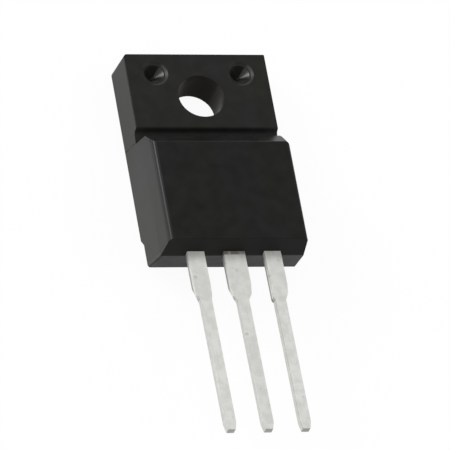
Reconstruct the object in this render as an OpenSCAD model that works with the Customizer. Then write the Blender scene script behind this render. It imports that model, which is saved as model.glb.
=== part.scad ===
// Three-lead power transistor in a fully moulded, electrically isolated package.
// The part lies on its back. The back face is at z = 0, the front faces +Z, the mounting tab
// points to +Y and the leads to -Y. The origin is the axis of the mounting hole at the back face.

/* [Moulded body] */
// Width at the back face, where the moulding is widest
body_w = 10.16; // [9.6:0.02:10.8]
// Height from the top edge of the tab to the lead end of the moulding
body_h = 15.83; // [15:0.01:16.8]
// Thickness of the thick lower block
body_t = 4.7; // [4.4:0.05:5.2]
// Thickness of the mounting tab
tab_t = 2.6; // [2.3:0.05:2.9]
// Draft of the side walls behind the leads, in degrees
back_draft = 3.3; // [2:0.1:5]
// Draft of the side walls in front of the leads, in degrees
front_draft = 5.4; // [2:0.1:8]
// Draft of the top edge of the tab, in degrees
top_draft = 3.5; // [2:0.1:6]
// Draft of the lead end in front of the leads, in degrees
front_end_draft = 5; // [2:0.1:8]
// Draft of the lead end behind the leads, in degrees
back_end_draft = 12; // [4:0.1:14]
// Radius of the upright edges along the front of the block
front_edge_r = 0.32; // [0.1:0.02:0.4]
// Radius of the other outer edges
small_edge_r = 0.07; // [0.04:0.01:0.2]

/* [Corners] */
// Radius of the tab's upper corner on the -X side
tab_left_r = 0.32; // [0.1:0.01:0.4]
// Radius of the tab's upper corner on the +X side
tab_right_r = 0.12; // [0.08:0.01:0.4]
// Radius of the block's upper corner on the -X side
block_left_r = 0.2; // [0.1:0.01:0.4]
// Radius of the block's upper corner on the +X side
block_right_r = 0.36; // [0.1:0.01:0.4]
// Radius of the corner behind the leads on the -X side
end_left_r = 0.22; // [0.1:0.01:0.3]

/* [Back recess] */
// Depth of the step in the back face at the lead end
recess_d = 0.39; // [0.2:0.01:0.6]
// Length of the recessed flat, from the lead end upwards
recess_len = 2.22; // [1.2:0.01:2.3]
// Length of the ramp between the recess and the back face
recess_ramp = 0.52; // [0.3:0.01:0.9]

/* [Mounting hole] */
// Diameter of the mounting hole
hole_d = 3.2; // [3:0.02:3.4]
// Distance from the hole's axis to the top edge of the tab at the back
hole_to_top = 3.45; // [3.1:0.01:3.7]

/* [Step between tab and block] */
// Distance from the hole's axis to the end of the tab's flat front
tab_front_end = 2.46; // [2.2:0.01:2.6]
// Radius of the edge between the tab's flat front and the groove
groove_edge_r = 0.17; // [0.05:0.01:0.17]
// Depth of the groove's upper wall below the front of the tab
groove_wall = 0.47; // [0.35:0.01:0.52]
// Radius of the groove between its wall and its floor
groove_r = 0.25; // [0.1:0.01:0.25]
// Depth of the groove where it meets the step
groove_foot = 0.55; // [0.5:0.01:0.8]
// Distance from the hole's axis to the top of the block's front face
front_face_top = 4.79; // [4.5:0.01:5.2]
// Leg of the chamfer along the top of the block
chamfer = 1.15; // [0.8:0.01:1.4]
// Radius of the chamfer's two edges
chamfer_edge_r = 0.2; // [0.1:0.01:0.3]
// Slope of the step wall, in degrees
step_draft = 12.3; // [4:0.1:14]

/* [Pin marks] */
// Distance from each pin mark to the side of the tab at the back
mark_to_side = 2.09; // [1.9:0.01:2.3]
// Distance from the pin marks to the top edge of the tab at the back
mark_to_top = 1.66; // [1.4:0.01:1.9]
// Diameter of the shallow dish round each mark
mark_ring_d = 1.9; // [1.8:0.01:2.1]
// Width of the dish's sloping rim
mark_rim = 0.18; // [0.1:0.01:0.25]
// Depth of the dish
mark_ring_depth = 0.11; // [0.03:0.01:0.15]
// Mouth diameter of the conical mark
mark_d = 1.36; // [1.1:0.01:1.4]
// Depth of the conical mark under the dish
mark_depth = 0.6; // [0.4:0.01:0.7]

/* [Leads] */
// Pitch of the leads
lead_pitch = 2.54; // [2.5:0.01:2.6]
// Width of the narrow stretch of a lead
lead_w = 0.75; // [0.65:0.01:0.9]
// Thickness of a lead
lead_t = 0.5; // [0.4:0.01:0.6]
// Height of the back of the leads above the back face, where the two halves of the mould meet
lead_z = 2.76; // [2.6:0.01:2.9]
// Length of the leads outside the moulding
lead_len = 13.23; // [9:0.01:14]
// Width that the centre lead's shoulder adds on each side
centre_extra = 0.35; // [0.2:0.005:0.36]
// Width that an outer lead's shoulder adds on its outer side
outer_extra = 0.3; // [0.15:0.005:0.4]
// Width that an outer lead's shoulder adds on its inner side
inner_extra = 0.11; // [0.05:0.005:0.2]
// Length of the straight part of the shoulder outside the moulding
shoulder_len = 2.42; // [1.6:0.01:2.6]
// Length of the gentle taper below the straight part
shoulder_ease = 0.75; // [0.5:0.01:1]
// Share of the shoulder's extra width left after the gentle taper
shoulder_left = 0.72; // [0.5:0.01:0.8]
// Length of the cut corner below the gentle taper
shoulder_cut = 0.45; // [0.3:0.01:0.9]
// Length of the short end of a shoulder on the -X side, where the strip's tie bar was sheared
sheared_end = 0.14; // [0.05:0.01:0.3]
// Length over which the back of a sheared corner is drawn in
sheared_len = 0.9; // [0.5:0.01:1.2]
// Length of the taper at the tip
tip_len = 0.55; // [0.3:0.01:0.8]
// Width of the flat end of the tip
tip_w = 0.5; // [0.3:0.01:0.6]
// Sideways drift of the tips, as the leads stand in the photograph
lead_lean = 0.16; // [0:0.01:0.4]

/* [Bond posts] */
// Cover of moulding compound beside a post
post_side = 1.1; // [0.7:0.01:1.5]
// Gap between a post and the centre lead
post_gap = 0.6; // [0.4:0.01:0.7]
// Length of a post
post_len = 1.5; // [1.2:0.01:1.6]
// Cover of moulding compound between a post and the lead end
post_cover = 0.62; // [0.5:0.01:0.8]
// Radius of the locking hole in a post's neck
lock_r = 0.22; // [0.15:0.01:0.25]

/* [Header] */
// Thickness of moulding compound behind the header
header_cover = 0.55; // [0.45:0.01:0.7]
// Thickness of the header
header_t = 1.3; // [1:0.01:1.35]
// Cover of moulding compound beside the header
header_side = 0.97; // [0.7:0.01:1.5]
// Distance from the foot of the step down to the upper edge of the header
header_setback = 0.1; // [0:0.01:0.5]
// Distance from the posts up to the lower edge of the header
header_gap = 0.8; // [0.5:0.01:1.2]
// Radius of the locking notches in the header's sides
notch_r = 0.45; // [0.3:0.01:0.6]

/* [Die] */
// Size of the silicon die across the part
die_w = 3.5; // [3:0.01:4]
// Size of the silicon die along the part
die_l = 3.1; // [2.6:0.01:3.3]
// Thickness of the silicon die
die_t = 0.28; // [0.2:0.01:0.35]
// Thickness of the solder under the die
solder_t = 0.05; // [0.03:0.01:0.1]
// Width of the solder showing round the die
solder_rim = 0.12; // [0.05:0.01:0.25]

/* [Bond wires] */
// Diameter of the control electrode's wire
gate_wire_d = 0.2; // [0.15:0.01:0.3]
// Diameter of each power wire
power_wire_d = 0.38; // [0.3:0.01:0.45]
// Rise of a wire's loop over the straight line between its bonds
loop_rise = 0.95; // [0.8:0.01:1.1]

/* [Hidden] */
// Facets of the round shapes
$fn = 64;
// Steps in each rounded corner of an outline
CORNER_STEPS = 5;

// Heights and places along the part, from the hole's axis at the back face
top_y = hole_to_top;
exit_y = top_y - body_h;
tip_y = exit_y - lead_len;
lead_top_z = lead_z + lead_t;
chamfer_z = body_t - chamfer;
chamfer_y = -front_face_top + chamfer;
step_y0 = chamfer_y + chamfer_z * tan(step_draft);
front_end_y = exit_y + (body_t - lead_z) * tan(front_end_draft);
back_end_y = exit_y + (lead_z - recess_d) * tan(back_end_draft);
recess_top_y = exit_y + recess_len;
shoulder_y = exit_y - shoulder_len - shoulder_ease - shoulder_cut;
foot_z = tab_t - groove_foot;
foot_y = step_y0 - foot_z * tan(step_draft);
centre_half = lead_w / 2 + centre_extra;
post_x1 = centre_half + post_gap;
post_x2 = half_width(lead_top_z) - post_side;
post_y0 = exit_y + post_cover;
post_y1 = post_y0 + post_len;
header_z = header_cover;
header_top_z = header_z + header_t;
header_w = 2 * (half_width(header_top_z) - header_side);
header_y1 = foot_y - header_setback;
header_y0 = post_y1 + header_gap;
die_z = header_top_z + solder_t;
die_top_z = die_z + die_t;
die_y = (header_y0 + header_y1) / 2;
// Length, width and thickness of a bond's foot, as shares of its wire's diameter
FOOT = [2.4, 1.5, 0.6];
// Height of the loop's start over the bonded surface, as a share of the wire's diameter
LOOP_START = 0.55;
// Diameter of the blunt tip of a conical mark
MARK_TIP = 0.16;
// Length of the stretch in which an outer lead widens into its post
NECK = 0.25;
// Length over which the step up to the centre lead lies in the header
LAP = 0.3;
// How far a cutting shape reaches past the solid that it cuts, and past an edge that it rounds
PAST = 1;
REACH = 0.4;
// Places of the bonds on the die, as shares of the die's half sizes, and on the posts, as shares of the post
GATE_ON_DIE = [-0.72, -0.68];
POWER_ON_DIE = [[0.12, -0.35], [0.6, -0.05]];
GATE_ON_POST = [0.4, 0.6];
POWER_ON_POST = [[0.25, 0.55], [0.68, 0.55]];

// Half the width of the moulding at height z, which is drawn in more in front of the leads
function half_width(z) =
    body_w / 2 - min(z, lead_z) * tan(back_draft) - max(z - lead_z, 0) * tan(front_draft);

function unit(v) = v / norm(v);

// Points that round the corner q, which lies between the points p and s
function corner(p, q, s, r) =
    r == 0 ? [q] :
    let (u = unit(p - q), w = unit(s - q),
        half = acos(u * w) / 2,
        centre = q + unit(u + w) * r / sin(half),
        from = q + u * r / tan(half) - centre,
        to = q + w * r / tan(half) - centre,
        start = atan2(from.y, from.x),
        turn = atan2(from.x * to.y - from.y * to.x, from * to))
    [for (i = [0:CORNER_STEPS]) let (a = start + turn * i / CORNER_STEPS) centre + r * [cos(a), sin(a)]];

// Outline through points given as [across, up, corner radius]
function rounded(pts) =
    let (n = len(pts), flat = [for (p = pts) [p[0], p[1]]])
    [for (i = [0:n - 1]) each corner(flat[(i + n - 1) % n], flat[i], flat[(i + 1) % n], pts[i][2])];

// A solid whose section in the plane of Y and Z is the outline pts
module along_x(pts, width) {
    rotate([90, 0, 90]) linear_extrude(width, center = true) polygon(pts);
}

// A solid whose section in the plane of X and Z is the outline pts, from y0 up to y1
module along_y(pts, y0, y1) {
    translate([0, y1, 0]) rotate([90, 0, 0]) linear_extrude(y1 - y0) polygon(pts);
}

// Section across the moulding from the back up to a height: widest at the back, drawn in towards the front
function across(height, r) =
    let (back = body_w / 2, side = half_width(lead_z), front = half_width(height), bent = height > lead_z)
    rounded([
        [-back, 0, 0],
        [back, 0, 0],
        if (bent) [side, lead_z, 0],
        [front, height, r],
        [-front, height, r],
        if (bent) [-side, lead_z, 0]]);

// Takes off the edge through the point p between faces with the outward normals n1 and n2, up to a radius.
// It reaches so far before and after the point along the edge.
module rounded_off(p, n1, n2, r, before, after) {
    axis = unit(cross(n1, n2));
    side = cross(axis, n1);
    m = [n2 * n1, n2 * side];
    centre = [-r, -r * (1 - m.x) / m.y];
    turn = atan2(m.y, m.x);
    multmatrix([
        [n1.x, side.x, axis.x, p.x],
        [n1.y, side.y, axis.y, p.y],
        [n1.z, side.z, axis.z, p.z]])
        translate([0, 0, -before]) linear_extrude(before + after)
            polygon([
                centre + [r + REACH, 0],
                unit([1, 0] + m) * 2 * REACH,
                centre + (r + REACH) * m,
                for (i = [CORNER_STEPS:-1:0]) let (a = turn * i / CORNER_STEPS) centre + r * [cos(a), sin(a)]]);
}

// Outward normal of the side wall on the given side, behind or in front of the leads
function side_normal(side, draft) = [side * cos(draft), 0, sin(draft)];

// The mounting tab, down to the plane of the step wall
module tab_form() {
    wall_z = tab_t - groove_wall;
    intersection() {
        along_x(rounded([
            [step_y0, 0, 0],
            [top_y, 0, 0],
            [top_y - tab_t * tan(top_draft), tab_t, small_edge_r],
            [-tab_front_end, tab_t, groove_edge_r],
            [-tab_front_end - groove_wall * tan(step_draft), wall_z, groove_r],
            [foot_y, foot_z, 0]]), body_w + PAST);
        along_y(across(tab_t, small_edge_r), -body_h, body_h);
    }
}

// The thick block round the header, the die and the bond posts
module block_form() {
    intersection() {
        along_x(rounded([
            [recess_top_y + recess_ramp, 0, 0],
            [step_y0, 0, 0],
            [chamfer_y, chamfer_z, chamfer_edge_r],
            [-front_face_top, body_t, chamfer_edge_r],
            [front_end_y, body_t, small_edge_r],
            [exit_y, lead_z, 0],
            [back_end_y, recess_d, small_edge_r],
            [recess_top_y, recess_d, 0]]), body_w + PAST);
        along_y(across(body_t, front_edge_r), -body_h, body_h);
    }
}

// Upper corner of the tab on the given side
module tab_corner(side, r) {
    rounded_off([side * body_w / 2, top_y, 0],
        side_normal(side, back_draft), [0, cos(top_draft), sin(top_draft)], r, PAST + tab_t, PAST + tab_t);
}

// Upper corner of the block on the given side, along the step wall and along the chamfer
module block_corner(side, r) {
    wall = [0, cos(step_draft), sin(step_draft)];
    slope = [0, sqrt(0.5), sqrt(0.5)];
    side_wall = side_normal(side, front_draft);
    rise = chamfer_z - foot_z;
    // The edge runs up on the +X side and down on the other
    corner = [side * half_width(chamfer_z), chamfer_y, chamfer_z];
    rounded_off(corner, side_wall, wall, r, side > 0 ? rise : r, side > 0 ? r : rise);
    rounded_off(corner, side_wall, slope, r, side > 0 ? r : 2 * chamfer, side > 0 ? 2 * chamfer : r);
}

// Corner of the lead end behind the leads, on the -X side
module end_corner(r) {
    rounded_off([-half_width(recess_d), back_end_y, recess_d],
        side_normal(-1, back_draft), [0, -cos(back_end_draft), -sin(back_end_draft)], r,
        PAST, (lead_z - recess_d) / cos(back_end_draft));
}

// Conical mark of a mould pin in a shallow dish, on the given side
module pin_mark(side) {
    floor_d = mark_ring_d - 2 * mark_rim;
    translate([side * (body_w / 2 - mark_to_side), top_y - mark_to_top, tab_t])
        rotate_extrude() polygon([
            [0, PAST],
            [0, -mark_ring_depth - mark_depth],
            [MARK_TIP / 2, -mark_ring_depth - mark_depth],
            [mark_d / 2, -mark_ring_depth],
            [floor_d / 2, -mark_ring_depth],
            [mark_ring_d / 2, 0],
            [mark_ring_d / 2, PAST]]);
}

// Black moulded epoxy: tab, block, hole and marks, closed tightly round the metal inside
module moulded_body() {
    color([0.1, 0.1, 0.1])
    difference() {
        difference() {
            union() {
                tab_form();
                block_form();
            }
            translate([0, 0, -PAST]) cylinder(h = tab_t + 2 * PAST, d = hole_d);
            for (side = [-1, 1]) {
                pin_mark(side);
                tab_corner(side, side < 0 ? tab_left_r : tab_right_r);
                block_corner(side, side < 0 ? block_left_r : block_right_r);
            }
            end_corner(end_left_r);
            header_and_centre_lead();
            left_lead();
            right_lead();
            die_attach_solder();
            silicon_die();
        }
        gate_bond_wire();
        for (i = [0, 1]) power_bond_wire(i);
    }
}

// Sideways place of a lead's middle at height y
function drift(y) = lead_lean * (exit_y - y) / lead_len;

// One edge of a lead outside the moulding, from the lead end to the tip, with the extra width of its shoulder.
// The shoulder ends in a sheared corner on the -X side and in a rolled one on the other side.
function lead_edge(x, side, extra) = [
    for (p = [
        [lead_w / 2 + extra, exit_y],
        if (side < 0) [lead_w / 2 + extra, shoulder_y + sheared_end],
        if (side > 0) [lead_w / 2 + extra, exit_y - shoulder_len],
        if (side > 0) [lead_w / 2 + extra * shoulder_left, exit_y - shoulder_len - shoulder_ease],
        [lead_w / 2, shoulder_y],
        [lead_w / 2, tip_y + tip_len],
        [tip_w / 2, tip_y]])
    [x + side * p[0] + drift(p[1]), p[1]]];

// What the shears drew in behind a wide shoulder's corner on the -X side of the lead at x
module drawn_in(x, extra) {
    inner = x - lead_w / 2 + drift(shoulder_y);
    outer = inner - extra;
    corner_y = shoulder_y + sheared_end;
    front = [outer, corner_y, lead_top_z];
    above = [outer, corner_y + sheared_len, lead_z];
    beside = [inner, shoulder_y, lead_z];
    normal = cross(beside - front, above - front);
    intersection() {
        translate([outer - extra, shoulder_y - extra, lead_z - lead_t])
            cube([2 * extra, sheared_len + PAST, 2 * lead_t]);
        translate(front) rotate([0, acos(normal.z / norm(normal)), atan2(normal.y, normal.x)])
            translate([-PAST, -PAST, -PAST]) cube([2 * PAST, 2 * PAST, PAST]);
    }
}

function reversed(list) = [for (i = [len(list) - 1:-1:0]) list[i]];

// Header under the die and the lead that is stamped with it, stepped up to the plane of the leads
module header_and_centre_lead() {
    // The step up is a strip at 45 degrees, which meets the header's end face below its top
    low = (header_z + header_top_z) / 2 + header_y0;
    high = low + lead_t * sqrt(2);
    color([0.8, 0.8, 0.78])
    union() {
        difference() {
            translate([-header_w / 2, header_y0, header_z]) cube([header_w, header_y1 - header_y0, header_t]);
            for (side = [-1, 1])
                translate([side * header_w / 2, die_y, header_z - PAST])
                    cylinder(h = header_t + 2 * PAST, r = notch_r);
        }
        along_x([
            [exit_y, lead_z],
            [low - lead_z, lead_z],
            [header_y0, low - header_y0],
            [header_y0 + LAP, low - header_y0],
            [header_y0 + LAP, header_top_z],
            [high - header_top_z, header_top_z],
            [high - lead_top_z, lead_top_z],
            [exit_y, lead_top_z]], 2 * centre_half);
        difference() {
            translate([0, 0, lead_z]) linear_extrude(lead_t)
                polygon(concat(lead_edge(0, -1, centre_extra), reversed(lead_edge(0, 1, centre_extra))));
            drawn_in(0, centre_extra);
        }
    }
}

// Outer lead on the given side, with its bond post inside the moulding
module outer_lead(side) {
    x = side * lead_pitch;
    inner = lead_edge(x, -side, inner_extra);
    outer = lead_edge(x, side, outer_extra);
    neck_y = post_y0 - NECK;
    color([0.8, 0.8, 0.78])
    difference() {
        translate([0, 0, lead_z]) linear_extrude(lead_t) difference() {
            polygon(concat(
                [[side * post_x1, post_y1], [side * post_x1, post_y0], [x - side * (lead_w / 2 + inner_extra), neck_y]],
                inner, reversed(outer),
                [[x + side * (lead_w / 2 + outer_extra), neck_y], [side * post_x2, post_y0], [side * post_x2, post_y1]]));
            translate([x, post_y0 + lock_r]) circle(r = lock_r);
        }
        if (side < 0) drawn_in(x, outer_extra);
    }
}

module left_lead() {
    outer_lead(-1);
}

module right_lead() {
    outer_lead(1);
}

// Solder layer that holds the die on the header
module die_attach_solder() {
    color([0.55, 0.55, 0.58])
    translate([-die_w / 2 - solder_rim, die_y - die_l / 2 - solder_rim, header_top_z])
        cube([die_w + 2 * solder_rim, die_l + 2 * solder_rim, solder_t]);
}

// Silicon die
module silicon_die() {
    color([0.32, 0.33, 0.4])
    translate([-die_w / 2, die_y - die_l / 2, die_z]) cube([die_w, die_l, die_t]);
}

// Aluminium wire in one round loop between a bond on the die and a bond on a post
module bond_wire(from, to, d) {
    run = to - from;
    span = norm(run);
    rise = lead_top_z - die_top_z;
    chord = norm([span, rise]);
    r = chord * chord / (8 * loop_rise) + loop_rise / 2;
    half = asin(chord / 2 / r);
    tilt = atan2(rise, span);
    color([0.85, 0.85, 0.86])
    translate([from.x, from.y, 0]) rotate([0, 0, atan2(run.y, run.x)]) {
        // The loop lies in the upright plane through both bonds
        translate([0, 0, die_top_z + LOOP_START * d]) rotate([90, 0, 0]) rotate([0, 0, tilt])
            translate([chord / 2, loop_rise - r, 0]) rotate([0, 0, 90 - half])
                rotate_extrude(angle = 2 * half) translate([r, 0]) circle(d = d);
        for (bond = [[0, die_top_z], [span, lead_top_z]])
            translate([bond.x - FOOT.x * d / 2, -FOOT.y * d / 2, bond.y]) cube(FOOT * d);
    }
}

// Place on the die for shares of its half sizes
function on_die(share) = [share.x * die_w / 2, die_y + share.y * die_l / 2];

// Place on a post for shares of its width, from the inner edge, and of its length
function on_post(side, share) = [side * (post_x1 + share.x * (post_x2 - post_x1)), post_y0 + share.y * post_len];

module gate_bond_wire() {
    bond_wire(on_die(GATE_ON_DIE), on_post(-1, GATE_ON_POST), gate_wire_d);
}

module power_bond_wire(i) {
    bond_wire(on_die(POWER_ON_DIE[i]), on_post(1, POWER_ON_POST[i]), power_wire_d);
}

moulded_body();
header_and_centre_lead();
left_lead();
right_lead();
die_attach_solder();
silicon_die();
gate_bond_wire();
power_bond_wire(0);  // power_bond_wire_1
power_bond_wire(1);  // power_bond_wire_2
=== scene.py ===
import math

import bpy
from mathutils import Matrix, Vector


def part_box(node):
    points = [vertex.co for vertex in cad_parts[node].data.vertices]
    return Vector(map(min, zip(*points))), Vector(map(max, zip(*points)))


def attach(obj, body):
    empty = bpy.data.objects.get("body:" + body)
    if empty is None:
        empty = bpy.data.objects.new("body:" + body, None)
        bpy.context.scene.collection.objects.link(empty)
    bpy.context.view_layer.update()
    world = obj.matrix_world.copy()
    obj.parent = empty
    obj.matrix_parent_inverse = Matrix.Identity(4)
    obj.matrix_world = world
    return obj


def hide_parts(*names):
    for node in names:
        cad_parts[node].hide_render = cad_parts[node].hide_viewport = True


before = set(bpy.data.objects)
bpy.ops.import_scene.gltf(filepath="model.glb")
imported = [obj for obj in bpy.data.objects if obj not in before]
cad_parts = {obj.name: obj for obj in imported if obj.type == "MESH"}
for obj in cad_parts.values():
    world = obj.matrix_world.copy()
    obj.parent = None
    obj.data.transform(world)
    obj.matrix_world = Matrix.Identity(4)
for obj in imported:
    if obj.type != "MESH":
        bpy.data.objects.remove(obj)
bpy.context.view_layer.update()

# Camera
# It stands to the left of the part and above its lead end, looks down on the front face, and is
# turned a little so that the tab points up in the picture. A long lens keeps parallel edges parallel.
MM = 0.001
CAMERA_PLACE = Vector((-129.6, -214.7, 347.3)) * MM
CAMERA_RIGHT = Vector((0.95154, -0.16016, 0.26251))
CAMERA_SIGHT = Vector((0.30749, 0.48594, -0.81811))
SENSOR = 36.0
FOCAL_PIXELS = 6423.4
PICTURE = 450
SIGHT_LIMIT = 10

back = -CAMERA_SIGHT.normalized()
up = back.cross(CAMERA_RIGHT).normalized()
right = up.cross(back)
camera = bpy.data.objects.new("camera", bpy.data.cameras.new("camera"))
camera.matrix_world = Matrix.Translation(CAMERA_PLACE) @ Matrix((right, up, back)).transposed().to_4x4()
camera.data.sensor_width = SENSOR
camera.data.lens = SENSOR * FOCAL_PIXELS / PICTURE
camera.data.clip_end = SIGHT_LIMIT
bpy.context.scene.collection.objects.link(camera)
bpy.context.scene.camera = camera
bpy.context.scene.view_settings.view_transform = "Standard"

# Studio
# A wide white table that keeps a soft shadow, a soft lamp low on the far left that draws the bright
# lines on rounded edges, a weaker one on the right, and an even pale surround. The table lies a hair
# below the part's back, so that the two faces don't coincide.
WHITE = (1, 1, 1, 1)
TABLE_SIZE = 1.2
TABLE_GAP = 0.02 * MM
TABLE_GREY = 0.8
TABLE_GLOW = 0.94
TABLE_SHADE = 1 - TABLE_GLOW
TABLE_MIRRORED = 0.75
SURROUND = 0.66
LAMPS = {
    "edge_lamp": {"place": (-0.54, 0.365, 0.37), "size": 0.36, "power": 2.6},
    "fill_lamp": {"place": (0.5, -0.1, 0.45), "size": 0.5, "power": 0.8},
}


def new_material(name):
    """An empty node material and its output node."""
    material = bpy.data.materials.new(name)
    material.use_nodes = True
    material.node_tree.nodes.clear()
    output = material.node_tree.nodes.new("ShaderNodeOutputMaterial")
    return material, output


def add_node(tree, kind, inputs=None, **properties):
    """A node of that kind with the values given for its inputs and its own properties."""
    node = tree.nodes.new(kind)
    for name, value in properties.items():
        setattr(node, name, value)
    for name, value in (inputs or {}).items():
        node.inputs[name].default_value = value
    return node


def put(tree, value, socket):
    """Sets a socket to a value, or links it to the socket that gives the value."""
    if isinstance(value, bpy.types.NodeSocket):
        tree.links.new(value, socket)
    else:
        socket.default_value = value


def calculated(tree, operation, *values):
    """The result of a Math node on sockets or numbers, as a socket."""
    node = add_node(tree, "ShaderNodeMath", operation=operation)
    for value, socket in zip(values, node.inputs):
        put(tree, value, socket)
    return node.outputs[0]


bpy.ops.object.select_all(action="DESELECT")
bpy.ops.mesh.primitive_plane_add(size=TABLE_SIZE, location=(0, 0, -TABLE_GAP))
table = bpy.context.object
table.name = "table"

# The camera and mirroring surfaces see the table glow, and everything else sees it matte
table_white, table_output = new_material("table_white")
tree = table_white.node_tree
matte = add_node(tree, "ShaderNodeBsdfDiffuse", {"Color": (TABLE_GREY, TABLE_GREY, TABLE_GREY, 1)})
glow = add_node(tree, "ShaderNodeEmission", {"Color": WHITE, "Strength": TABLE_GLOW})
shade = add_node(tree, "ShaderNodeBsdfDiffuse", {"Color": (TABLE_SHADE, TABLE_SHADE, TABLE_SHADE, 1)})
shaded_glow = tree.nodes.new("ShaderNodeAddShader")
put(tree, glow.outputs[0], shaded_glow.inputs[0])
put(tree, shade.outputs[0], shaded_glow.inputs[1])
ray = tree.nodes.new("ShaderNodeLightPath").outputs
mirrored = calculated(tree, "MULTIPLY", ray["Is Glossy Ray"], TABLE_MIRRORED)
looked_at = calculated(tree, "MAXIMUM", ray["Is Camera Ray"], mirrored)
seen = calculated(tree, "MAXIMUM", looked_at, ray["Is Transmission Ray"])
either = tree.nodes.new("ShaderNodeMixShader")
put(tree, seen, either.inputs["Fac"])
put(tree, matte.outputs[0], either.inputs[1])
put(tree, shaded_glow.outputs[0], either.inputs[2])
put(tree, either.outputs[0], table_output.inputs["Surface"])
table.data.materials.append(table_white)

world = bpy.data.worlds.new("surround")
world.use_nodes = True
world.node_tree.nodes["Background"].inputs["Color"].default_value = WHITE
world.node_tree.nodes["Background"].inputs["Strength"].default_value = SURROUND
bpy.context.scene.world = world

for name, lamp in LAMPS.items():
    bpy.ops.object.light_add(type="AREA", location=lamp["place"])
    light = bpy.context.object
    light.name = name
    light.rotation_euler = (-Vector(lamp["place"])).to_track_quat("-Z", "Y").to_euler()
    light.data.shape = "DISK"
    light.data.size = lamp["size"]
    light.data.energy = lamp["power"]

# Leads
# Flat leads stamped from copper strip and plated with tin. The centre one is one piece with the
# header that carries the die. The stamped edges are a little rolled, and the plating is satin with
# lengthwise lines from the rolled strip, small dents and a darker cut at the tips.
LEAD_NODES = ("left_lead", "right_lead", "header_and_centre_lead")
LEAD_EASE = 0.05 * MM
EASE_STEPS = 3
SHARP = math.radians(28)
SMOOTH = math.radians(30)
FLAT = math.radians(0.4)
MERGE = 0.0004 * MM


def copied(node, name):
    """A new object with a merged copy of a node's mesh, with its flat faces whole again."""
    piece = bpy.data.objects.new(name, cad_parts[node].data.copy())
    bpy.context.scene.collection.objects.link(piece)
    bpy.ops.object.select_all(action="DESELECT")
    piece.select_set(True)
    bpy.context.view_layer.objects.active = piece
    piece.data.materials.clear()
    bpy.ops.object.mode_set(mode="EDIT")
    bpy.ops.mesh.select_all(action="SELECT")
    bpy.ops.mesh.remove_doubles(threshold=MERGE)
    bpy.ops.mesh.dissolve_limited(angle_limit=FLAT)
    bpy.ops.mesh.select_all(action="DESELECT")
    bpy.ops.object.mode_set(mode="OBJECT")
    return piece


def ease_edges(piece, width, wanted):
    """Rounds each sharp edge whose middle passes the test wanted, and marks the new faces as eased."""
    bpy.ops.object.mode_set(mode="EDIT")
    bpy.ops.mesh.select_mode(type="EDGE")
    bpy.ops.mesh.select_all(action="DESELECT")
    bpy.ops.mesh.edges_select_sharp(sharpness=SHARP)
    bpy.ops.object.mode_set(mode="OBJECT")
    points = piece.data.vertices
    for edge in piece.data.edges:
        middle = (points[edge.vertices[0]].co + points[edge.vertices[1]].co) / 2
        edge.select = edge.select and wanted(middle)
    bpy.ops.object.mode_set(mode="EDIT")
    bpy.ops.mesh.bevel(offset=width, segments=EASE_STEPS, profile=0.5, clamp_overlap=True)
    bpy.ops.object.mode_set(mode="OBJECT")
    eased = piece.data.attributes.get("eased") or piece.data.attributes.new("eased", "FLOAT", "FACE")
    for face in piece.data.polygons:
        if face.select:
            eased.data[face.index].value = 1


def smooth(piece, crisp=None):
    """Shades rounded stretches smooth and keeps flat faces flat, and crisp edges that pass the test."""
    bpy.ops.object.shade_smooth_by_angle(angle=SMOOTH)
    points = piece.data.vertices
    for edge in piece.data.edges:
        if crisp and all(crisp(points[i].co) for i in edge.vertices):
            edge.use_edge_sharp = True
    bpy.ops.object.modifier_add(type="WEIGHTED_NORMAL")
    piece.modifiers[-1].keep_sharp = True
    bpy.ops.object.modifier_apply(modifier=piece.modifiers[-1].name)


def new_group(name, inputs, outputs):
    """An empty node group with named inputs, given with their values, and named outputs."""
    group = bpy.data.node_groups.new(name, "ShaderNodeTree")
    for title, value in inputs.items():
        kind = "NodeSocketVector" if isinstance(value, tuple) else "NodeSocketFloat"
        group.interface.new_socket(name=title, in_out="INPUT", socket_type=kind).default_value = value
    for title in outputs:
        group.interface.new_socket(name=title, in_out="OUTPUT", socket_type="NodeSocketFloat")
    return group, group.nodes.new("NodeGroupInput").outputs, group.nodes.new("NodeGroupOutput").inputs


def with_group(tree, group, inputs):
    """The outputs of a group that is placed in a tree with its own values."""
    return add_node(tree, "ShaderNodeGroup", inputs, node_tree=group).outputs


def in_millimetres(tree):
    """The place on the piece in millimetres, as a socket."""
    place = tree.nodes.new("ShaderNodeTexCoord")
    scaled = add_node(tree, "ShaderNodeVectorMath", {"Scale": 1 / MM}, operation="SCALE")
    tree.links.new(place.outputs["Object"], scaled.inputs[0])
    return scaled.outputs[0]


def on_vectors(tree, operation, *values):
    """The outputs of a Vector Math node on sockets or vectors."""
    node = add_node(tree, "ShaderNodeVectorMath", operation=operation)
    for value, socket in zip(values, node.inputs):
        put(tree, value, socket)
    return node.outputs


def parts_of(tree, vector):
    """The X, Y and Z of a vector, as sockets."""
    node = tree.nodes.new("ShaderNodeSeparateXYZ")
    tree.links.new(vector, node.inputs[0])
    return node.outputs


def facing_parts(tree):
    """The X, Y and Z of the direction that the surface faces, as sockets."""
    return parts_of(tree, tree.nodes.new("ShaderNodeTexCoord").outputs["Normal"])


def total(tree, first, *others):
    """The sum of sockets and numbers, as a socket."""
    for other in others:
        first = calculated(tree, "ADD", first, other)
    return first


def product(tree, first, *others):
    """The product of sockets and numbers, as a socket."""
    for other in others:
        first = calculated(tree, "MULTIPLY", first, other)
    return first


def limited(tree, value):
    """The value kept between 0 and 1, as a socket."""
    node = tree.nodes.new("ShaderNodeClamp")
    tree.links.new(value, node.inputs["Value"])
    return node.outputs[0]


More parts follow.
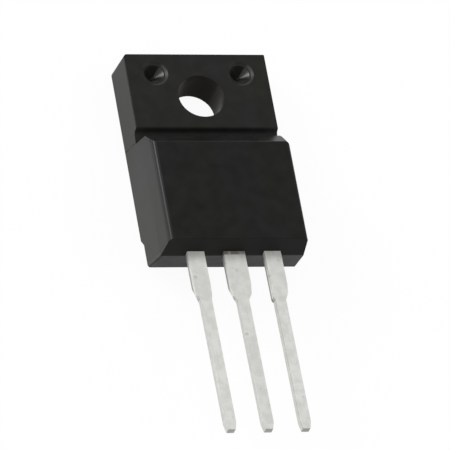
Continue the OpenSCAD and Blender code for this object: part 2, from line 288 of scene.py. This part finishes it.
def faded(tree, value, start, end, low=0.0, high=1.0):
    """A socket that goes smoothly from low to high while the value goes from start to end."""
    limits = {"To Min": low, "To Max": high}
    node = add_node(tree, "ShaderNodeMapRange", limits, interpolation_type="SMOOTHSTEP")
    for given, socket in zip((value, start, end), node.inputs):
        put(tree, given, socket)
    return node.outputs[0]


# Where a Mix node keeps its colours, which share their names with its other sockets
FIRST_COLOUR = 6
SECOND_COLOUR = 7
MIXED_COLOUR = 2


def mixed(tree, share, first, second, **properties):
    """The first colour with that share of the second in its place, as a socket."""
    node = add_node(tree, "ShaderNodeMix", data_type="RGBA", **properties)
    put(tree, share, node.inputs["Factor"])
    put(tree, first, node.inputs[FIRST_COLOUR])
    put(tree, second, node.inputs[SECOND_COLOUR])
    return node.outputs[MIXED_COLOUR]


def bumped(tree, height, inputs):
    """The direction that a surface with that height faces, as a socket."""
    node = add_node(tree, "ShaderNodeBump", inputs)
    tree.links.new(height, node.inputs["Height"])
    return node.outputs[0]


# Grain of a moulded, plated or soldered surface: fine grains on low lumps, sizes in millimetres
grain, given, result = new_group(
    "surface_grain", {"Grain Size": 0.05, "Lump Size": 0.6, "Lump Share": 0.5}, ("Height", "Tone")
)
place = in_millimetres(grain)
fine = add_node(grain, "ShaderNodeTexNoise", {"Detail": 3.0, "Roughness": 0.6})
lumps = add_node(grain, "ShaderNodeTexNoise", {"Detail": 2.0, "Roughness": 0.5})
for noise, size in ((fine, "Grain Size"), (lumps, "Lump Size")):
    put(grain, place, noise.inputs["Vector"])
    put(grain, calculated(grain, "DIVIDE", 1.0, given[size]), noise.inputs["Scale"])
raised = product(grain, lumps.outputs[0], given["Lump Share"])
put(grain, total(grain, fine.outputs[0], raised), result["Height"])
put(grain, lumps.outputs[0], result["Tone"])

# Wear of eased edges, broken into patches, sizes in millimetres
WEAR_LIMIT = 0.9
WEAR_BLUR = 0.2
wear, given, result = new_group("edge_wear", {"Patch Size": 0.3, "Cover": 0.5}, ("Mask",))
eased = add_node(wear, "ShaderNodeAttribute", attribute_name="eased")
patches = add_node(wear, "ShaderNodeTexNoise", {"Detail": 2.0})
put(wear, in_millimetres(wear), patches.inputs["Vector"])
put(wear, calculated(wear, "DIVIDE", 1.0, given["Patch Size"]), patches.inputs["Scale"])
threshold = calculated(wear, "SUBTRACT", WEAR_LIMIT, given["Cover"])
worn = faded(wear, patches.outputs[0], threshold, total(wear, threshold, WEAR_BLUR))
put(wear, product(wear, eased.outputs["Fac"], worn), result["Mask"])

# Round patch about an axis along Z, centre and radius in millimetres
patch, given, result = new_group(
    "round_patch", {"Centre": (0, 0, 0), "Radius": 1.0, "Blur": 0.05}, ("Mask",)
)
offset = on_vectors(patch, "SUBTRACT", in_millimetres(patch), given["Centre"])[0]
distance = on_vectors(patch, "LENGTH", on_vectors(patch, "MULTIPLY", offset, (1, 1, 0))[0])["Value"]
rim = total(patch, given["Radius"], given["Blur"])
put(patch, faded(patch, distance, rim, given["Radius"]), result["Mask"])

# Lines drawn along Y, spacing and length in millimetres
streaks, given, result = new_group("drawn_lines", {"Spacing": 0.08, "Length": 3.0}, ("Height",))
stretch = streaks.nodes.new("ShaderNodeCombineXYZ")
for axis, size in (("X", "Spacing"), ("Y", "Length"), ("Z", "Spacing")):
    put(streaks, calculated(streaks, "DIVIDE", 1.0, given[size]), stretch.inputs[axis])
stretched = on_vectors(streaks, "MULTIPLY", in_millimetres(streaks), stretch.outputs[0])[0]
lines = add_node(streaks, "ShaderNodeTexNoise", {"Scale": 1.0, "Detail": 3.0, "Roughness": 0.65})
put(streaks, stretched, lines.inputs["Vector"])
put(streaks, lines.outputs[0], result["Height"])

# Scattered small dents and spots, size in millimetres
SPOT_LIMIT = 0.78
SPOT_BLUR = 0.06
spots, given, result = new_group("scattered_spots", {"Spot Size": 0.2, "Cover": 0.1}, ("Mask",))
specks = add_node(spots, "ShaderNodeTexNoise", {"Detail": 1.0, "Roughness": 0.4})
put(spots, in_millimetres(spots), specks.inputs["Vector"])
put(spots, calculated(spots, "DIVIDE", 1.0, given["Spot Size"]), specks.inputs["Scale"])
threshold = calculated(spots, "SUBTRACT", SPOT_LIMIT, given["Cover"])
put(spots, faded(spots, specks.outputs[0], threshold, total(spots, threshold, SPOT_BLUR)), result["Mask"])

# Tin plating
# A stretch is in millimetres down the leads from the lead end of the moulding, and heights and places
# are in millimetres too. A facing is one part of the direction that the surface faces. A pair is a
# start and an end, and a fade goes on with what it gives at each.
TIN_BRIGHT = (0.95, 0.955, 0.91, 1)
TIN_DARK = (0.3, 0.3, 0.285, 1)
BARE_COPPER = (0.13, 0.11, 0.09, 1)
LEAD_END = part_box("moulded_body")[0].y / MM
ROOT_STRETCH = (2.0, 0.6)
ROOT_SHADE_STRETCH = (0.75, 0.1)
SHOULDER_STRETCH = (3.4, 3.7)
COPPER_STRETCH = (0.28, 0.14)
TORN_HEIGHTS = (3.06, 2.92)
CENTRE_LEAD_HALF = (1.0, 0.9)
RIGHT_LEAD_FROM = (1.5, 1.6)
LEFT_SIDE_FACING = (-0.5, -0.8)
LIT_EDGE_FACING = (-0.1, -0.4)
TIP_FACING = (-0.8, -0.97)
LINES_SHARE = 0.3
USUAL_DARKNESS = 0.19
CLOUD_FADE = (0.62, 0.38, USUAL_DARKNESS, USUAL_DARKNESS + 0.12)
DENT_DARKNESS = 0.2
TORN_DARKNESS = 0.7
ROOT_PAINTED_SHADE = 0.27
TIP_DARKNESS = 0.65
LIT_EDGE_PAINTED_HIGHLIGHT = 0.1
ROUGH_EDGE_DARKNESS = 0.4
LOW_SIDE_DARKNESS = 0.2
COPPER_FADE = (0.35, 0.55, 0.45, 0.85)
METALLIC_FADE = (0.0, 1.0, 0.65, 0.25)
SATIN_FADE = (0.35, 0.65, 0.40, 0.50)
ROLLED_EDGE_POLISH = 0.08
ROUGH_EDGE_MATTING = 0.4
LINES_HEIGHT = 0.8
DENT_DEPTH = 3.0
PLATING_BUMP = {"Strength": 0.4, "Distance": 0.003 * MM}
MARK_BLUR = 0.06
MARK_FADE = (0.45, 0.55, 0.6, 1.3)
PRESS_MARKS = (
    {"place": (-2.96, -14.27, 0), "radius": 0.1, "strength": 1.1},
    {"place": (-0.04, -13.76, 0), "radius": 0.1, "strength": 1.0},
    {"place": (-0.33, -13.61, 0), "radius": 0.07, "strength": 0.75},
    {"place": (-3.07, -15.87, 0), "radius": 0.13, "strength": 1.5},
    {"place": (-0.61, -15.87, 0), "radius": 0.1, "strength": 1.5},
    {"place": (2.71, -15.94, 0), "radius": 0.22, "strength": 0.5},
    {"place": (2.1, -14.2, 0), "radius": 0.09, "strength": 0.9},
    {"place": (-0.18, -18.57, 0), "radius": 0.09, "strength": 1.0},
)

tin, tin_output = new_material("tin_plating")
tree = tin.node_tree
plating = add_node(tree, "ShaderNodeBsdfPrincipled", {"IOR": 1.5})
texture = with_group(tree, grain, {"Grain Size": 0.03, "Lump Size": 0.5, "Lump Share": 2.0})
rolled = with_group(tree, streaks, {"Spacing": 0.1, "Length": 2.5})["Height"]
dents = with_group(tree, spots, {"Spot Size": 0.3, "Cover": 0.06})["Mask"]
rubbed = with_group(tree, wear, {"Patch Size": 0.25, "Cover": 0.65})["Mask"]
axes = parts_of(tree, in_millimetres(tree))
facing = facing_parts(tree)
down = calculated(tree, "SUBTRACT", LEAD_END, axes["Y"])
near_root = faded(tree, down, *ROOT_STRETCH)
on_left_side = faded(tree, facing["X"], *LEFT_SIDE_FACING)
at_tips = faded(tree, facing["Y"], *TIP_FACING)
cloud = total(tree, product(tree, rolled, LINES_SHARE), product(tree, texture["Tone"], 1 - LINES_SHARE))

# Darker where clouded, dented, torn along the back of a sheared side and cut off at the tip, with painted
# shade close to the moulding, painted light over the first shoulder and a painted highlight on the rolled
# edges that face left
on_shoulder = faded(tree, down, *reversed(SHOULDER_STRETCH))
torn = product(tree, on_left_side, faded(tree, axes["Z"], *TORN_HEIGHTS), on_shoulder)
low_side = product(tree, on_left_side, faded(tree, down, *SHOULDER_STRETCH))
# painted highlight on worn rolled edges that face left, towards the lamp
lit_edge = product(tree, rubbed, faded(tree, facing["X"], *LIT_EDGE_FACING))
rough_edge = product(tree, lit_edge, faded(tree, axes["X"], *RIGHT_LEAD_FROM))
mottled = faded(tree, cloud, *MARK_FADE)
for mark in PRESS_MARKS:
    spot = {"Centre": mark["place"], "Radius": mark["radius"], "Blur": MARK_BLUR}
    pressed = with_group(tree, patch, spot)["Mask"]
    dents = total(tree, dents, product(tree, pressed, mottled, mark["strength"]))
darkness = total(
    tree,
    faded(tree, cloud, *CLOUD_FADE),
    product(tree, dents, DENT_DARKNESS),
    product(tree, torn, TORN_DARKNESS),
    # painted shade on the leads close to the moulding
    faded(tree, down, *ROOT_SHADE_STRETCH, 0.0, ROOT_PAINTED_SHADE),
    product(tree, at_tips, TIP_DARKNESS),
    # painted light near the moulding, over the first shoulder, taking out the usual darkness
    product(tree, near_root, -USUAL_DARKNESS),
    product(tree, lit_edge, -LIT_EDGE_PAINTED_HIGHLIGHT),
    product(tree, rough_edge, ROUGH_EDGE_DARKNESS),
    product(tree, low_side, LOW_SIDE_DARKNESS),
)

# The plating stops short of the moulding on the centre lead, so a line of copper shows
on_centre_lead = faded(tree, calculated(tree, "ABSOLUTE", axes["X"]), *CENTRE_LEAD_HALF)
unplated = faded(tree, texture["Tone"], *COPPER_FADE)
bare = product(tree, on_centre_lead, faded(tree, down, *COPPER_STRETCH), unplated)
colour = mixed(tree, limited(tree, darkness), TIN_BRIGHT, TIN_DARK)
put(tree, mixed(tree, bare, colour, BARE_COPPER), plating.inputs["Base Color"])

# Satin, whiter and less of a mirror near the moulding, smoother on the rolled edges
put(tree, faded(tree, near_root, *METALLIC_FADE), plating.inputs["Metallic"])
satin = total(
    tree,
    faded(tree, cloud, *SATIN_FADE),
    product(tree, rubbed, -ROLLED_EDGE_POLISH),
    product(tree, rough_edge, ROUGH_EDGE_MATTING),
)
put(tree, limited(tree, satin), plating.inputs["Roughness"])
height = total(
    tree,
    product(tree, rolled, LINES_HEIGHT),
    texture["Height"],
    product(tree, dents, -DENT_DEPTH),
)
put(tree, bumped(tree, height, PLATING_BUMP), plating.inputs["Normal"])
put(tree, plating.outputs[0], tin_output.inputs["Surface"])

for node in LEAD_NODES:
    lead = copied(node, "tinned_" + node)
    ease_edges(lead, LEAD_EASE, lambda point: True)
    smooth(lead)
    lead.data.materials.append(tin)
    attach(lead, "root")
    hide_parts(node)

# Solder under the die
# A thin layer of soft solder that holds the die on the header. It is dull and a little lumpy, as it
# froze. It stays as the solid is, and only gets its finish.
SOLDER_PALE = (0.5, 0.5, 0.515, 1)
SOLDER_DARK = (0.3, 0.3, 0.32, 1)
SOLDER_TONES = (0.6, 0.35)
SOLDER_ROUGHNESS_FADE = (0.8, 1.8, 0.45, 0.6)
SOLDER_BUMP = {"Strength": 0.5, "Distance": 0.006 * MM}


def finish_node(node, material):
    """Gives a carried-over solid its material."""
    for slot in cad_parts[node].material_slots:
        slot.material = material


solder, solder_output = new_material("dull_solder")
tree = solder.node_tree
metal = add_node(tree, "ShaderNodeBsdfPrincipled", {"Metallic": 1.0})
texture = with_group(tree, grain, {"Grain Size": 0.04, "Lump Size": 0.35, "Lump Share": 2.5})
dull = faded(tree, texture["Tone"], *SOLDER_TONES)
put(tree, mixed(tree, dull, SOLDER_PALE, SOLDER_DARK), metal.inputs["Base Color"])
put(tree, faded(tree, texture["Height"], *SOLDER_ROUGHNESS_FADE), metal.inputs["Roughness"])
put(tree, bumped(tree, texture["Height"], SOLDER_BUMP), metal.inputs["Normal"])
put(tree, metal.outputs[0], solder_output.inputs["Surface"])
finish_node("die_attach_solder", solder)

# Silicon die
# A square cut from a polished wafer. Its top is metallised with aluminium inside a darker ring along
# the edge, and its sides are dark from the saw. It stays as the solid is, and only gets its finish.
DIE_METAL = (0.8, 0.8, 0.82, 1)
DIE_RING = (0.2, 0.22, 0.3, 1)
DIE_RING_WIDTHS = (0.11, 0.13)
SAWN_SILICON = (0.085, 0.09, 0.11, 1)
SAWN_FADE = (0.0, 1.0, 0.15, 0.0)
POLISH_FADE = (0.5, 1.3, 0.2, 0.3)
TOP_FACING = (0.4, 0.6)
DIE_BUMP = {"Strength": 0.2, "Distance": 0.001 * MM}

silicon, silicon_output = new_material("metallised_silicon")
tree = silicon.node_tree
wafer = add_node(tree, "ShaderNodeBsdfPrincipled", {"IOR": 3.4})
texture = with_group(tree, grain, {"Grain Size": 0.02, "Lump Size": 0.4, "Lump Share": 1.0})
die_low, die_high = (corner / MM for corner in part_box("silicon_die"))
half = (die_high - die_low) / 2
offset = on_vectors(tree, "SUBTRACT", in_millimetres(tree), (die_low + die_high) / 2)[0]
from_middle = parts_of(tree, on_vectors(tree, "ABSOLUTE", offset)[0])
to_side = calculated(tree, "SUBTRACT", half.x, from_middle["X"])
to_end = calculated(tree, "SUBTRACT", half.y, from_middle["Y"])
inside_ring = faded(tree, calculated(tree, "MINIMUM", to_side, to_end), *DIE_RING_WIDTHS)
on_top = faded(tree, facing_parts(tree)["Z"], *TOP_FACING)
top_colour = mixed(tree, inside_ring, DIE_RING, DIE_METAL)
put(tree, mixed(tree, on_top, SAWN_SILICON, top_colour), wafer.inputs["Base Color"])
put(tree, product(tree, on_top, inside_ring), wafer.inputs["Metallic"])
rough = total(tree, faded(tree, on_top, *SAWN_FADE), faded(tree, texture["Height"], *POLISH_FADE))
put(tree, rough, wafer.inputs["Roughness"])
put(tree, bumped(tree, texture["Height"], DIE_BUMP), wafer.inputs["Normal"])
put(tree, wafer.outputs[0], silicon_output.inputs["Surface"])
finish_node("silicon_die", silicon)

# Bond wires
# Drawn aluminium wires from the die to the posts, pressed flat and welded by ultrasound at both ends.
# They are satin, with faint marks of the drawing die and of the bonding tool.
BOND_WIRES = ("gate_bond_wire", "power_bond_wire_1", "power_bond_wire_2")
WIRE_PALE = (0.82, 0.82, 0.84, 1)
WIRE_DARK = (0.62, 0.62, 0.64, 1)
WIRE_TONE_FADE = (0.6, 0.4, 0.0, 0.4)
WIRE_PRESS_DARKNESS = 0.6
WIRE_ROUGHNESS_FADE = (0.35, 0.65, 0.26, 0.36)
WIRE_BUMP = {"Strength": 0.3, "Distance": 0.002 * MM}

aluminium, aluminium_output = new_material("drawn_aluminium")
tree = aluminium.node_tree
metal = add_node(tree, "ShaderNodeBsdfPrincipled", {"Metallic": 1.0})
texture = with_group(tree, grain, {"Grain Size": 0.02, "Lump Size": 0.2, "Lump Share": 1.5})
drawn = with_group(tree, streaks, {"Spacing": 0.04, "Length": 1.2})["Height"]
pressed = with_group(tree, spots, {"Spot Size": 0.12, "Cover": 0.12})["Mask"]
clouded = faded(tree, texture["Tone"], *WIRE_TONE_FADE)
dull = total(tree, product(tree, pressed, WIRE_PRESS_DARKNESS), clouded)
put(tree, mixed(tree, limited(tree, dull), WIRE_PALE, WIRE_DARK), metal.inputs["Base Color"])
put(tree, faded(tree, drawn, *WIRE_ROUGHNESS_FADE), metal.inputs["Roughness"])
put(tree, bumped(tree, total(tree, texture["Height"], drawn), WIRE_BUMP), metal.inputs["Normal"])
put(tree, metal.outputs[0], aluminium_output.inputs["Surface"])
for node in BOND_WIRES:
    finish_node(node, aluminium)

# Moulded body
# One piece of black epoxy, moulded round the metal. Its faces are matte from the spark-eroded mould,
# the pits of the mould's pins are smooth, and its edges are a little rounded. It is made from the
# solid, with every crisp outer edge eased.
EDGE_EASE = 0.035 * MM
RIM_EASE = 0.05 * MM
LEAD_END_DEPTH = 0.5 * MM
HOLE_RADIUS = 1.6 * MM
INSIDE = LEAD_NODES + BOND_WIRES + ("die_attach_solder", "silicon_die")

inner_boxes = [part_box(node) for node in INSIDE]
body_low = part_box("moulded_body")[0]
parting_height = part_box("left_lead")[0].z


def at_the_rim(point):
    """True for a point on the rim of the mounting hole."""
    return abs(math.hypot(point.x, point.y) - HOLE_RADIUS) < EDGE_EASE


def on_the_outside(point):
    """False for a point on the hole's eased rim or on the walls round the metal, past the lead end."""
    if math.hypot(point.x, point.y) < HOLE_RADIUS + 2 * RIM_EASE:
        return False
    if point.y < body_low.y + LEAD_END_DEPTH:
        return True
    return not any(
        all(low[i] - MERGE < point[i] < high[i] + MERGE for i in range(3)) for low, high in inner_boxes
    )


def on_the_kink(point):
    """True for a point on the lead end where the mould's two halves meet, at the back of the leads."""
    return point.y < body_low.y + RIM_EASE and abs(point.z - parting_height) < RIM_EASE


body = copied("moulded_body", "epoxy_body")
ease_edges(body, RIM_EASE, at_the_rim)
ease_edges(body, EDGE_EASE, on_the_outside)
smooth(body, on_the_kink)

# Black epoxy
# Here a stretch is in millimetres along Y, counted from the hole. Heights, places, widths and sizes
# are in millimetres too, and facings, pairs and fades are meant as for the tin plating.
EPOXY_DARK = (0.0045, 0.0045, 0.0042, 1)
EPOXY_PALE = (0.036, 0.036, 0.034, 1)
EPOXY_IN_HOLE = (0.021, 0.018, 0.0155, 1)
EPOXY_PAINTED_REFLECTION = (0.095, 0.088, 0.076, 1)
OLIVE_TINT = (1.0, 1.0, 0.92, 1)
BLUISH_TINT = (0.96, 1.0, 1.02, 1)
TINT_SIZE = 3.5
TINT_TONES = (0.35, 0.65)
MOTTLING = 0.35
TAB_PALENESS = 0.315
BLOCK_HEIGHTS = (2.75, 3.0)
BLOCK_DARKNESS = 0.17
SIDE_FACING = (0.6, 0.8)
SIDE_PAINTED_LIGHT_FADE = (-2, -7, 0.12, 0.5)
SIDE_LINE_HEIGHTS = (4.2, 4.3)
SIDE_LINE_DARKNESS = 0.55
CHAMFER_FACING = (0.5, 0.65)
CHAMFER_STRETCH = (-3.6, -3.65)
CHAMFER_PAINTED_SHADE = 0.15
LEAD_END_FACING = (-0.5, -0.65)
BACK_END_HEIGHTS = (2.77, 2.75)
BACK_END_STRETCH = (-9, -10)
BACK_END_PAINTED_SHADE = 0.38
PIN_PITS = ((-2.99, 1.79, 0), (2.99, 1.79, 0))
PIT_RADIUS = 0.97
PIT_BLUR = 0.03
PIT_HEIGHTS = (1.5, 1.8)
PIT_SIDE = (-0.87, 0.5, 0)
PIT_SIDE_FACING = (0.03, 0.2)
CONE_RADIUS = 0.66
CONE_BLUR = 0.06
CONE_FACING = (0.97, 0.9)
CONE_PAINTED_SHADE = 0.4
FRONT_EDGE_HEIGHTS = (4.35, 4.45)
FRONT_EDGE_GLOSS = 0.4
FRONT_EDGE_WEAR_FADE = (0.0, 1.0, 0.95, 1.6)
LEFT_FACING = (-0.05, -0.2)
FLAT_LEFT_FACING = (-0.99, -0.95)
UPHILL_GLOSS_FADE = (0.3, 0.05, 0.55, 1.0)
HOLE_BLUR = 0.06
HOLE_REFLECTION_FACING = (0.35, 0.8)
JOINT_AT_BACK = -2.866
JOINT_SLOPE = math.tan(math.radians(12.3))
JOINT_WIDTHS = (0.06, 0.012)
JOINT_BREAK_FADE = (0.95, 1.15, 0.25, 1.0)
JOINT_MATTING = 0.6
JOINT_DEPTH = 6.0
MATT_FADE = (0.3, 0.7, 0.21, 0.27)
END_MATT_FADE = (-0.02, 0.02, 0.11, 0.4)
EDGE_POLISH = 0.05
HOLE_MATTING = 0.06
EPOXY_BUMP = {"Strength": 0.5, "Distance": 0.003 * MM}

epoxy, epoxy_output = new_material("black_epoxy")
tree = epoxy.node_tree
skin = add_node(tree, "ShaderNodeBsdfPrincipled", {"IOR": 1.17, "Coat IOR": 1.5, "Coat Roughness": 0.37})
texture = with_group(tree, grain, {"Grain Size": 0.06, "Lump Size": 0.9, "Lump Share": 1.2})
rubbed = with_group(tree, wear, {"Patch Size": 0.4, "Cover": 0.48})["Mask"]
axes = parts_of(tree, in_millimetres(tree))
facing = facing_parts(tree)
sideways = faded(tree, calculated(tree, "ABSOLUTE", facing["X"]), *SIDE_FACING)
at_lead_end = faded(tree, facing["Y"], *LEAD_END_FACING)

# The mould's insert for the tab is eroded coarser, and leaves it paler, than the one for the block's
# front. The sides get painted light, paler towards the lead end, and painted shade makes the chamfer and
# the end behind the leads the darkest, with a line along the front of the sides
on_block = limited(
    tree, calculated(tree, "SUBTRACT", faded(tree, axes["Z"], *BLOCK_HEIGHTS), sideways)
)
on_chamfer = product(
    tree, faded(tree, facing["Y"], *CHAMFER_FACING), faded(tree, axes["Y"], *CHAMFER_STRETCH)
)
behind_leads = product(
    tree,
    at_lead_end,
    faded(tree, axes["Z"], *BACK_END_HEIGHTS),
    faded(tree, axes["Y"], *BACK_END_STRETCH),
)
paleness = total(
    tree,
    product(tree, texture["Tone"], MOTTLING),
    TAB_PALENESS,
    product(tree, on_block, -BLOCK_DARKNESS),
    # painted light on the sides, paler towards the lead end
    product(tree, sideways, faded(tree, axes["Y"], *SIDE_PAINTED_LIGHT_FADE)),
    product(tree, sideways, faded(tree, axes["Z"], *SIDE_LINE_HEIGHTS), -SIDE_LINE_DARKNESS),
    # painted shade on the chamfer
    product(tree, on_chamfer, -CHAMFER_PAINTED_SHADE),
    # painted shade on the end behind the leads, down by the table
    product(tree, behind_leads, -BACK_END_PAINTED_SHADE),
)

# The left edge of the front is shiny, and so is the side of each pin's pit that faces left and up the
# tab. The steep walls of the cones in the pits are darkened with painted shade
gloss = product(
    tree,
    faded(tree, axes["Z"], *FRONT_EDGE_HEIGHTS, 0.0, FRONT_EDGE_GLOSS),
    faded(tree, facing["X"], *FLAT_LEFT_FACING),
    faded(tree, facing["X"], *LEFT_FACING),
    faded(tree, rubbed, *FRONT_EDGE_WEAR_FADE),
)
outward = tree.nodes.new("ShaderNodeTexCoord").outputs["Normal"]
towards_side = on_vectors(tree, "DOT_PRODUCT", outward, PIT_SIDE)["Value"]
above_floor = faded(tree, axes["Z"], *PIT_HEIGHTS)
polished = product(tree, above_floor, faded(tree, towards_side, *PIT_SIDE_FACING))
on_cone_wall = product(tree, above_floor, faded(tree, facing["Z"], *CONE_FACING))
for centre in PIN_PITS:
    pit = with_group(tree, patch, {"Centre": centre, "Radius": PIT_RADIUS, "Blur": PIT_BLUR})["Mask"]
    cone = with_group(tree, patch, {"Centre": centre, "Radius": CONE_RADIUS, "Blur": CONE_BLUR})["Mask"]
    gloss = total(tree, gloss, product(tree, pit, polished))
    # painted shade on the steep walls of the cones
    paleness = total(tree, paleness, product(tree, cone, on_cone_wall, -CONE_PAINTED_SHADE))
gloss = product(tree, gloss, faded(tree, facing["Y"], *UPHILL_GLOSS_FADE))
put(tree, limited(tree, gloss), skin.inputs["Coat Weight"])

# Brownish flash on the wall of the hole, its paleness partly painted light, a painted reflection paler at
# its -X side, and faint clouds of tint
hole = {"Centre": (0, 0, 0), "Radius": HOLE_RADIUS / MM, "Blur": HOLE_BLUR}
in_hole = with_group(tree, patch, hole)["Mask"]
# painted reflection on the hole's wall at its -X side, over brownish flash
flash_and_painted_reflection = mixed(tree, faded(tree, facing["X"], *HOLE_REFLECTION_FACING), EPOXY_IN_HOLE, EPOXY_PAINTED_REFLECTION)
colour = mixed(tree, limited(tree, paleness), EPOXY_DARK, EPOXY_PALE)
colour = mixed(tree, in_hole, colour, flash_and_painted_reflection)
clouds = with_group(tree, grain, {"Lump Size": TINT_SIZE})["Tone"]
tint = mixed(tree, faded(tree, clouds, *TINT_TONES), OLIVE_TINT, BLUISH_TINT)
put(tree, mixed(tree, 1.0, colour, tint, blend_type="MULTIPLY"), skin.inputs["Base Color"])

# The broken line on the sides where the mould's insert for the tab meets the one for the block
along = total(tree, axes["Y"], product(tree, axes["Z"], JOINT_SLOPE))
off_line = calculated(tree, "ABSOLUTE", calculated(tree, "SUBTRACT", along, JOINT_AT_BACK))
unbroken = faded(tree, texture["Height"], *JOINT_BREAK_FADE)
on_line = product(tree, sideways, faded(tree, off_line, *JOINT_WIDTHS), unbroken)

# Matte, most so on the lead end and along that line, and smoother on the eased edges
matt = total(
    tree,
    faded(tree, texture["Tone"], *MATT_FADE),
    product(tree, rubbed, -EDGE_POLISH),
    product(tree, on_line, JOINT_MATTING),
    product(tree, at_lead_end, faded(tree, facing["Z"], *END_MATT_FADE)),
    product(tree, in_hole, HOLE_MATTING),
)
put(tree, limited(tree, matt), skin.inputs["Roughness"])
height = total(tree, texture["Height"], product(tree, on_line, -JOINT_DEPTH))
put(tree, bumped(tree, height, EPOXY_BUMP), skin.inputs["Normal"])
put(tree, skin.outputs[0], epoxy_output.inputs["Surface"])
body.data.materials.append(epoxy)
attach(body, "root")
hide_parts("moulded_body")
